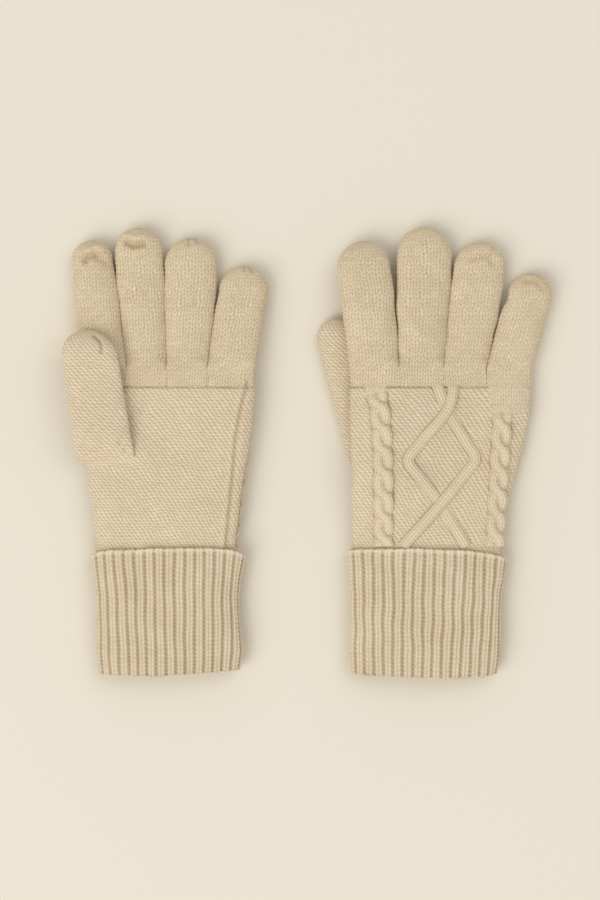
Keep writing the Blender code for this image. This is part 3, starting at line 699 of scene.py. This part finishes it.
# ---- Cuff -------------------------------------------------------------------------------
def rib_shell(glove, name, y_range, widths, middles, half_height, wall, edge):
    """A ribbed tube with a wall: up its outside, over its top edge and down its inside."""
    low, high = y_range
    lip = 0.5 * wall
    outside = int(round((high - low) / RIB_ROW * RIB_STEPS))
    arch = np.linspace(0.0, pi, 9)[1:-1]
    y = np.concatenate((
        np.linspace(low + lip, high - lip, outside), high - lip + lip * np.sin(arch),
        np.linspace(high - lip, low + lip, outside // 5), low + lip - lip * np.sin(arch),
        (low + lip,)))[:, None]
    depth = np.concatenate((
        np.zeros(outside), lip * (1.0 - np.cos(arch)), np.full(outside // 5, wall),
        lip * (1.0 + np.cos(arch)), (0.0,)))[:, None]
    share = (y - low) / (high - low)
    half_width = 0.5 * mix(widths[0], widths[1], share) - depth
    exponent = 2.0 / SQUARENESS
    x = glove.x + mix(middles[0], middles[1], share)
    x = x + half_width * power(np.cos(RING), exponent)
    z = (half_height - depth) * power(np.sin(RING), exponent)
    z = np.maximum(z, SETTLED - half_height) + CUFF_MIDDLE_HEIGHT
    points, a = knitted_tube(x, y, z, CUFF_RIBS, RIB_POINTS)
    b = np.broadcast_to((y - low) / RIB_ROW, a.shape)
    seed = glove.seed + 100
    slack = 0.07 * wander(points, 22.0, seed)
    b = b + 0.2 * wander(points, 14.0, seed + 1)
    outer = depth < 0.5 * wall
    height = uneven(rib_knit(a + slack, b), a, b, CUFF_RIBS, RIB_SPREAD)
    normal = outward(points, closed_across=True, closed_along=True)
    if edge:
        flat = ease(high - 2.8, high - 1.6, points[..., 1]) * outer
        height = mix(height, 0.5 + 0.5 * height, flat)
    within = depth > 0.5 * wall
    rise = np.where(within, 0.25, RIB_RELIEF) * (height - 1.0)
    drift = 0.3 * wander(points, 20.0, seed + 2) * ease(1.0, 4.0, points[..., 2])
    rise = rise + np.where(within, -drift, drift)
    points = points + normal * rise[..., None]
    fold = 1.0 - ease(low, low + 2.5, points[..., 1])
    points[..., 1] += 1.1 * fold * (1.0 - rib_knit(a + slack, 0.0))
    lean = points[..., 0] - glove.x - mix(middles[0], middles[1], share)
    lean = lean / (0.5 * widths[1])
    side = np.clip(np.abs(lean), 0.0, 1.0) ** 4
    heights, left, right = np.array(glove.cuff_sides).T
    sway = [np.interp(points[..., 1], heights, line) for line in (left, right)]
    tops, feet = (smooth_table(line, lean) for line in (glove.cuff_top, glove.cuff_foot))
    points[..., 0] += side * np.where(lean < 0.0, sway[0], sway[1])
    points[..., 1] += tops * share ** 3 + feet * (1.0 - share) ** 5
    points[-1] = points[0]
    # Painted shade: the stitches' height darkens the colour down in the valleys between the
    # ribs.
    return lay(name, points, height, (a, b), RIB)


def make_cuff(glove):
    around = 2.0 * (TURN_UP_CLEARANCE + RIB_WALL)
    leg = rib_shell(glove, f"{glove.name}_cuff_leg_rib",
                    (CUFF_BOTTOM + RIB_WALL, PANEL_BOTTOM - GAP),
                    (glove.leg_bottom_width, glove.wrist_width),
                    (glove.leg_x, glove.wrist_x), WRIST_HALF_HEIGHT, RIB_WALL, False)
    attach(leg, f"{glove.name}_hand")
    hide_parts(f"{glove.name}_cuff_leg")
    bottom = glove.leg_bottom_width + around
    top = glove.wrist_width + around + glove.turn_up_flare
    turn_up = rib_shell(glove, f"{glove.name}_turned_up_rib", (CUFF_BOTTOM, TURN_UP_TOP),
                        (bottom, top), (glove.leg_x, glove.turn_up_x), TURN_UP_HALF_HEIGHT,
                        RIB_WALL, True)
    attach(turn_up, f"{glove.name}_turn_up")
    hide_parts(f"{glove.name}_cuff_turn_up", f"{glove.name}_cuff_cast_off_edge")


# ---- Cables on the back -----------------------------------------------------------------
def back_table(glove):
    """The back's surface laid out by Y and by the length round it from the thumb's side."""
    y = np.linspace(PANEL_BOTTOM, PANEL_TOP + 8.0, 300)[:, None]
    angle = np.linspace(pi, 0.0, 721)[None, :]
    exponent = 2.0 / SQUARENESS
    x = hand_middle(glove, y) + hand_half_width(glove, y) * power(np.cos(angle), exponent)
    z = -glove.palm * hand_half_height(y) * power(np.sin(angle), exponent)
    z = z + middle_height(glove, y) + raised(glove, x, y)
    steps = np.hypot(np.diff(x, axis=1), np.diff(z, axis=1))
    arc = np.concatenate((np.zeros((len(x), 1)), np.cumsum(steps, axis=1)), axis=1)
    return y[:, 0], x, z, arc


def on_back(table, arc, y):
    """Points of the back at lengths round it, by Y."""
    rows, x, z, arcs = table
    place = np.clip((y - rows[0]) / (rows[1] - rows[0]), 0.0, len(rows) - 1.001)
    low = place.astype(int)
    share = place - low
    found = np.zeros(arc.shape + (2,))
    for row in np.unique(low):
        here = low == row
        for step, weight in ((0, 1.0 - share[here]), (1, share[here])):
            for axis, line in enumerate((x, z)):
                found[here, axis] += weight * np.interp(
                    arc[here], arcs[row + step], line[row + step])
    return np.stack((found[..., 0], y, found[..., 1]), axis=-1)


def cable(glove, table, name, route, half_width, profile, across):
    """A raised strip along a route on the back, whose section profile gives."""
    route = np.array(route) + (glove.x, 0.0)
    samples = np.linspace(0.0, 1.0, ROUTE_SAMPLES)
    dense = smooth_route(route, samples)
    arcs = np.concatenate(((0.0,), np.cumsum(np.hypot(*np.diff(dense, axis=0).T))))
    count = int(arcs[-1] / CABLE_STEP)
    along = np.linspace(0.0, arcs[-1], count + 1)
    shares = np.interp(along, arcs, samples)
    line = smooth_route(route, shares)
    way = np.gradient(line, axis=0)
    way /= np.linalg.norm(way, axis=1, keepdims=True)
    rows, x, z, lengths = table
    middle = []
    for spot_x, spot_y in line:
        row = round((spot_y - rows[0]) / (rows[1] - rows[0]))
        row = int(np.clip(row, 0, len(rows) - 1))
        middle.append(np.interp(spot_x, x[row], lengths[row]))
    offset = np.linspace(-half_width, half_width, across + 1)[None, :]
    y = line[:, 1:] - offset * way[:, :1]
    arc = np.array(middle)[:, None] + offset * way[:, 1:]
    points = on_back(table, arc, y)
    rise, stitch_shade, a, b = profile(along[:, None], offset, shares[:, None])
    facing = outward(points)
    sign = -glove.palm * np.sign(facing[..., 2].mean())
    points = points + sign * facing * rise[..., None]
    if sign < 0.0:
        points, stitch_shade, a, b = (each[:, ::-1] for each in (points, stitch_shade, a, b))
    piece = lay(f"{glove.name}_{name}_knit", points, stitch_shade, (a, b), TRIM)
    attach(piece, f"{glove.name}_hand")
    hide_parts(f"{glove.name}_{name}")


def rope_profile(along, offset, shares):
    """Two strands that wind round each other, each of three wales."""
    best = np.full(np.broadcast(along, offset).shape, -1.0)
    stitch_shade, a, b = np.zeros(best.shape), np.zeros(best.shape), np.zeros(best.shape)
    for strand in (0, 1):
        twist = np.maximum(along - ROPE_START, -0.25 * ROPE_TURN)
        phase = 2.0 * pi * twist / ROPE_TURN + strand * pi
        centre = -ROPE_SWING * power(np.sin(phase), 0.75)
        slope = np.gradient(centre[:, 0], along[:, 0])[:, None]
        tilt = 1.0 / np.sqrt(1.0 + np.minimum(slope ** 2, 1.6))
        across = (offset - centre) * tilt
        edge = np.clip(1.0 - (across / STRAND_HALF_WIDTH) ** 2, 0.0, 1.0)
        wale = 1.0 + across / STRAND_HALF_WIDTH
        row = np.cumsum(1.0 / tilt, axis=0) * (along[1] - along[0]) / ROPE_ROW
        stitch = plain_knit(wale, -row)
        top = 1.9 * edge ** 0.5 + 0.95 * np.cos(phase) * edge ** 0.3
        top = top + 0.6 * (stitch - 0.5) * edge ** 0.3
        top = np.where(edge > 0.0, top, -1.0)
        over = top > best
        best = np.where(over, top, best)
        # Painted shade: the colour darkens towards a strand's edges and between its stitches.
        stitch_shade = np.where(over, (0.3 + 0.7 * stitch) * edge ** 0.5, stitch_shade)
        a, b = np.where(over, wale, a), np.where(over, -row, b)
    ends = ease(0.0, 6.0, along) * ease(0.0, 1.5, along[-1] - along)
    side = ease(0.0, 0.8, ROPE_HALF_WIDTH + 0.3 - np.abs(offset))
    return np.maximum(best, -0.3) * ends * side - 0.5 * (1.0 - ends * side), stitch_shade, a, b


def cord_profile(crossing):
    """A round cord of two wales, that climbs over at one crossing and dips at the other."""

    def profile(along, offset, shares):
        place = shares * CORD_SPANS
        over = 1.0 - ease(0.35, 0.75, np.abs(place - crossing))
        under = 1.0 - ease(0.25, 0.6, np.abs(place - (CORD_SPANS - crossing)))
        across = offset / CORD_HALF_WIDTH
        edge = np.clip(1.0 - across ** 2, 0.0, 1.0)
        wale, row = np.broadcast_arrays(across + 1.0, -along / PLAIN_ROW)
        stitch = plain_knit(wale, row)
        rise = 1.5 * edge ** 0.5 + 0.65 * (stitch - 0.5) * edge ** 0.3 - 0.1
        rise = rise + (1.15 * over - 0.7 * under) * edge ** 0.25
        ends = ease(0.0, 2.5, along) * ease(0.0, 1.5, along[-1] - along)
        # Painted shade: the colour darkens towards the cord's edges and between its stitches.
        stitch_shade = (0.3 + 0.7 * stitch) * edge ** 0.35
        return rise * ends - 0.4 * (1.0 - ends), stitch_shade, wale, row

    return profile


def make_cables(glove):
    table = back_table(glove)
    for name, route in (("thumb_side_rope_cable", glove.rope_x),
                        ("little_side_rope_cable", glove.far_rope_x)):
        cable(glove, table, name, down_to_cuff(route, 2.0), ROPE_HALF_WIDTH + 0.3,
              rope_profile, 40)
    for name, route, crossing in (("diamond_thumb_side_cord", glove.diamond, 1),
                                  ("diamond_little_side_cord", glove.diamond_return, 5)):
        cable(glove, table, name, down_to_cuff(route, 4.0), CORD_HALF_WIDTH,
              cord_profile(crossing), 24)


def down_to_cuff(route, rise):
    """The route with its ends carried on to the cuff and up to the plain knitting."""
    (x, y), (last_x, last_y) = route[-2:]
    reach = (TURN_UP_TOP + 0.6 - y) / (last_y - y)
    first = (route[0][0], route[0][1] + rise),
    return first + route[1:-1] + ((mix(x, last_x, reach), mix(y, last_y, reach)),)


for glove in (LEFT, RIGHT):
    make_hand(glove)
    for order, (each, root_x, tip_x) in enumerate(finger_lines(glove)):
        make_finger(glove, each, root_x, tip_x, order)
    make_thumb(glove)
    make_cuff(glove)
    make_cables(glove)


# ---- Table, light and camera ------------------------------------------------------------
def make_table():
    bpy.ops.mesh.primitive_plane_add(size=8.0, location=(0.0, 0.0, 0.0))
    table = bpy.context.object
    table.name = "pale_table"
    finish = Finish("pale_table_top")
    finish.fill(finish.shader, {"Base Color": linear(232, 225, 209), "Roughness": 0.95,
                                "Specular IOR Level": 0.0})
    table.data.materials.append(finish.material)


def make_lamp(name, place, size, watts, colour=(1.0, 1.0, 1.0)):
    """A square lamp that faces the middle of the pair."""
    lamp = bpy.data.objects.new(name, bpy.data.lights.new(name, "AREA"))
    lamp.data.size = size
    lamp.data.energy = watts
    lamp.data.color = colour
    lamp.location = place
    lamp.rotation_euler = (-Vector(place)).to_track_quat("-Z", "Y").to_euler()
    bpy.context.scene.collection.objects.link(lamp)


make_table()
make_lamp("key_lamp", (-2.2, -1.9, 3.0), 3.2, 88.0, (1.0, 0.995, 0.985))
make_lamp("fill_lamp", (1.8, 1.5, 3.4), 3.0, 28.0)
bpy.context.scene.view_settings.view_transform = "Standard"
world = bpy.data.worlds.new("studio")
world.use_nodes = True
world.node_tree.nodes["Background"].inputs["Color"].default_value = linear(238, 237, 234)
world.node_tree.nodes["Background"].inputs["Strength"].default_value = 0.7
bpy.context.scene.world = world

camera = bpy.data.objects.new("camera", bpy.data.cameras.new("camera"))
camera.data.lens = 100.0
camera.location = (-0.00471, 0.00119, 1.408)
bpy.context.scene.collection.objects.link(camera)
bpy.context.scene.camera = camera
